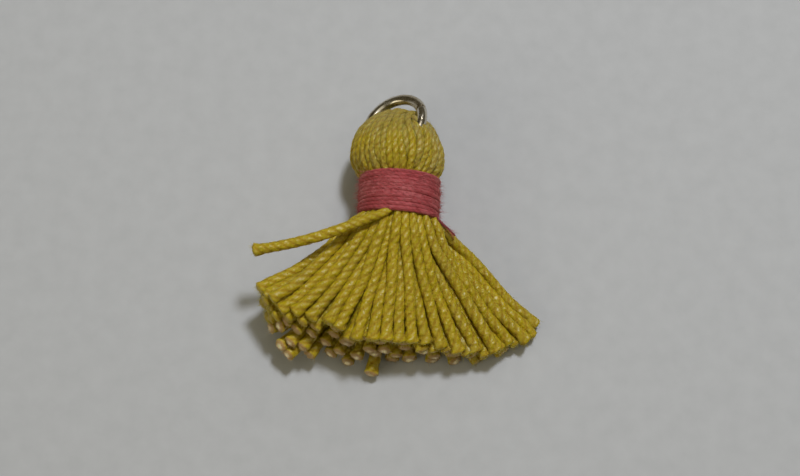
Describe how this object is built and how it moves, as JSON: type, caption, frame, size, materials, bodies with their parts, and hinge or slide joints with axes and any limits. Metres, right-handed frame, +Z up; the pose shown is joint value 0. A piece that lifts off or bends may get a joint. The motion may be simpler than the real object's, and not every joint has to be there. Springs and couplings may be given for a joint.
{
  "type": "tassel",
  "caption": "Mini tassel of folded cotton yarn with a thread binding round its neck, hung on a small metal jump ring.",
  "frame": {"origin": "bottom centre of the bounding box, on the surface that the tassel lies on", "axes": "+Z up from the surface, +Y along the tassel from the skirt's cut edge to the ring, +X across the skirt's fan"},
  "size_m": [0.0238, 0.0228, 0.0082],
  "materials": {
    "yarn": "plied cotton with a soft lustre",
    "thread": "spun sewing thread, matt",
    "ring": "nickel-plated wire, polished"
  },
  "bodies": {
    "root": {"yarn_hank": "yarn", "stray_yarn_end": "yarn", "binding": "thread", "binding_tail": "thread", "jump_ring": "ring"}
  },
  "joints": []
}
